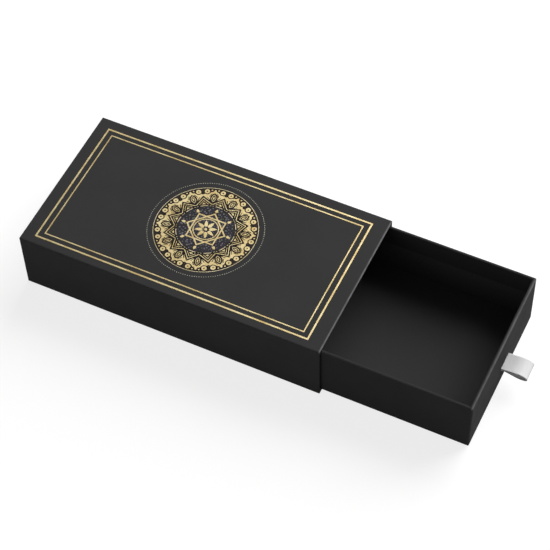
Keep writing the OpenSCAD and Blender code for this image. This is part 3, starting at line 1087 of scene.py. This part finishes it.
def named_inputs(tree: Tree, values: Mapping[str, float]) -> dict[str, float]:
    """Gives a Geometry Nodes tree named inputs for its sizes, and returns those by socket identifier."""
    kinds = {int: "NodeSocketInt", float: "NodeSocketFloat"}
    return {
        tree.interface.new_socket(name=name, in_out="INPUT", socket_type=kinds[type(value)]).identifier: value
        for name, value in values.items()
    }


def inked_output(tree: Tree, shapes: Node, ink_t: float, ink: Material) -> None:
    """Makes flat shapes real, thickens them to closed films of ink and sends them to the tree's output.

    Args:
        tree: The Geometry Nodes tree.
        shapes: The flat instances.
        ink_t: Thickness of the ink.
        ink: Its material.
    """
    tree.interface.new_socket(name="Geometry", in_out="OUTPUT", socket_type="NodeSocketGeometry")
    real = node(tree, "GeometryNodeRealizeInstances", {0: shapes})
    lift = {"Mesh": real, "Offset Scale": ink_t, "Individual": False}
    top = node(tree, "GeometryNodeExtrudeMesh", lift)
    both = node(tree, "GeometryNodeJoinGeometry", {0: top})
    tree.links.new(real.outputs[0], both.inputs[0])
    inked = node(tree, "GeometryNodeSetMaterial", {"Geometry": both, "Material": ink})
    node(tree, "NodeGroupOutput", {0: inked})


def grown(name: str, tree: Tree, values: Mapping[str, float], source: bpy.types.Mesh | None = None) -> Piece:
    """Runs a Geometry Nodes tree and keeps its result as a plain mesh.

    Args:
        name: The piece's name.
        tree: The tree to run.
        values: Its inputs by socket identifier.
        source: The mesh that it works on, if it takes one.

    Returns:
        The finished piece.
    """
    seedling = in_scene(name + "_source", source or bpy.data.meshes.new(name + "_source"))
    modifier = seedling.modifiers.new("grow", "NODES")
    modifier.node_group = tree
    for identifier, value in values.items():
        modifier[identifier] = value
    evaluated = seedling.evaluated_get(bpy.context.evaluated_depsgraph_get())
    mesh = bpy.data.meshes.new_from_object(evaluated)
    mesh.name = name
    bpy.data.objects.remove(seedling)
    piece = in_scene(name, mesh)
    outward(piece)
    return piece


@dataclass(frozen=True)
class SoftBox:
    """A square lamp behind a diffuser, pointed at the box.

    Attributes:
        name: Its name.
        direction: Where it stands, seen from the box.
        distance: How far away it stands.
        size: Side of its face.
        power: Its power in watts.
    """

    name: str
    direction: Vec3
    distance: float
    size: float
    power: float

    def hang(self, middle: Vec3) -> None:
        """Hangs the lamp so that it faces a point."""
        data = bpy.data.lights.new(self.name, "AREA")
        data.shape, data.size, data.energy = "SQUARE", self.size, self.power
        lamp = in_scene(self.name, data)
        towards = Vector(self.direction).normalized()
        lamp.location = Vector(middle) + towards * self.distance
        lamp.rotation_euler = towards.to_track_quat("Z", "Y").to_euler()


@dataclass
class Studio:
    """A pale floor, a large soft lamp from behind on the right, a weak one in front, and the camera.

    Attributes:
        camera_at: Where the camera stands, in metres.
        camera_to: Where it looks.
        camera_roll: Its tilt about the line of sight, in degrees.
        lens: Its focal length.
        sensor: Width of its sensor in millimetres.
        lamps: The soft boxes.
        fill: Strength of the light from all round.
        floor_colour: The floor as the lamps see it.
        floor_lit: How much light it returns to the camera.
        floor_glow: How much it adds, so that it looks white.
        floor_size: Side of the floor.
        floor_drop: How far it lies under the box.
    """

    camera_at: Vec3 = (0.35574, -0.59902, 0.94782)
    camera_to: Vec3 = (0.04546, 0.00086, 0.022)
    camera_roll: float = -2.197
    lens: float = 123.4
    sensor: float = 36.0
    lamps: tuple[SoftBox, ...] = (
        SoftBox("key", (0.28, 0.79, 0.55), 1.5, 1.6, 45.0),
        SoftBox("front_fill", (-0.15, -1.0, 0.02), 1.2, 0.9, 4.6),
    )
    fill: float = 0.09
    floor_colour: str = "#b8b8b8"
    floor_lit: float = 0.3
    floor_glow: float = 0.8
    floor_size: float = 8.0
    floor_drop: float = 0.02 * MM

    def build(self) -> None:
        """Sets up the whole studio, and shows colours as they are written."""
        bpy.context.scene.view_settings.view_transform = "Standard"
        self._floor()
        self._world()
        for lamp in self.lamps:
            lamp.hang(self.camera_to)
        self._camera()

    def _floor(self) -> None:
        """Lays the floor: white to the camera with the box's shadow on it, and plain grey to the lamps."""
        half = self.floor_size / 2
        corners = [(x * half, y * half, -self.floor_drop) for x, y in ((-1, -1), (1, -1), (1, 1), (-1, 1))]
        floor = mesh_piece("floor", corners, [(0, 1, 2, 3)], smooth=False)
        material, tree = new_material("pale_floor")
        paper = {"Base Color": linear(self.floor_colour), "Roughness": 0.9, "Specular IOR Level": 0.1}
        grey = node(tree, "ShaderNodeBsdfPrincipled", paper)
        lit = node(tree, "ShaderNodeBsdfDiffuse", {0: (*[self.floor_lit] * 3, 1.0)})
        glow = node(tree, "ShaderNodeEmission", {1: self.floor_glow})
        white = node(tree, "ShaderNodeAddShader", {0: lit, 1: glow})
        seen = node(tree, "ShaderNodeMixShader", {0: self._in_view(tree), 1: grey, 2: white})
        node(tree, "ShaderNodeOutputMaterial", {0: seen})
        paint(floor, material)

    def _world(self) -> None:
        """Makes the surroundings white where they are seen or mirrored, and a soft fill light elsewhere."""
        world = bpy.data.worlds.new("studio")
        bpy.context.scene.world = world
        world.use_nodes = True
        tree = world.node_tree
        tree.nodes.clear()
        strength = node(tree, MAP_RANGE, {0: self._in_view(tree), 3: self.fill, 4: 1.0})
        sky = node(tree, "ShaderNodeBackground", {"Strength": strength})
        node(tree, "ShaderNodeOutputWorld", {0: sky})

    def _in_view(self, tree: Tree) -> Node:
        """Returns 1 for what the camera sees, straight or by gloss or glass, and 0 for bounced light."""
        path = node(tree, "ShaderNodeLightPath").outputs
        seen = path["Is Camera Ray"]
        for ray in ("Is Glossy Ray", "Is Transmission Ray"):
            seen = node(tree, MATH, {0: seen, 1: path[ray]}, operation="MAXIMUM")
        return seen

    def _camera(self) -> None:
        """Stands the camera where the photograph was taken from."""
        data = bpy.data.cameras.new("camera")
        data.lens, data.sensor_width = self.lens, self.sensor
        camera = in_scene("camera", data)
        back = (Vector(self.camera_at) - Vector(self.camera_to)).normalized()
        level = back.to_track_quat("Z", "Y").to_matrix().to_4x4()
        roll = Matrix.Rotation(math.radians(self.camera_roll), 4, "Z")
        camera.matrix_world = Matrix.Translation(self.camera_at) @ level @ roll
        bpy.context.scene.camera = camera


def main() -> None:
    """Builds the studio and dresses the box."""
    logging.basicConfig(level=logging.INFO, format="%(name)s %(message)s")
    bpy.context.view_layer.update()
    Studio().build()
    finishes = Finishes.make()
    Sleeve().dress(finishes)
    LidPrint().build()
    drawer = Drawer()
    drawer.dress(finishes)
    drawer.build(finishes)
    RibbonPull().build(finishes)


if __name__ == "__main__":
    main()
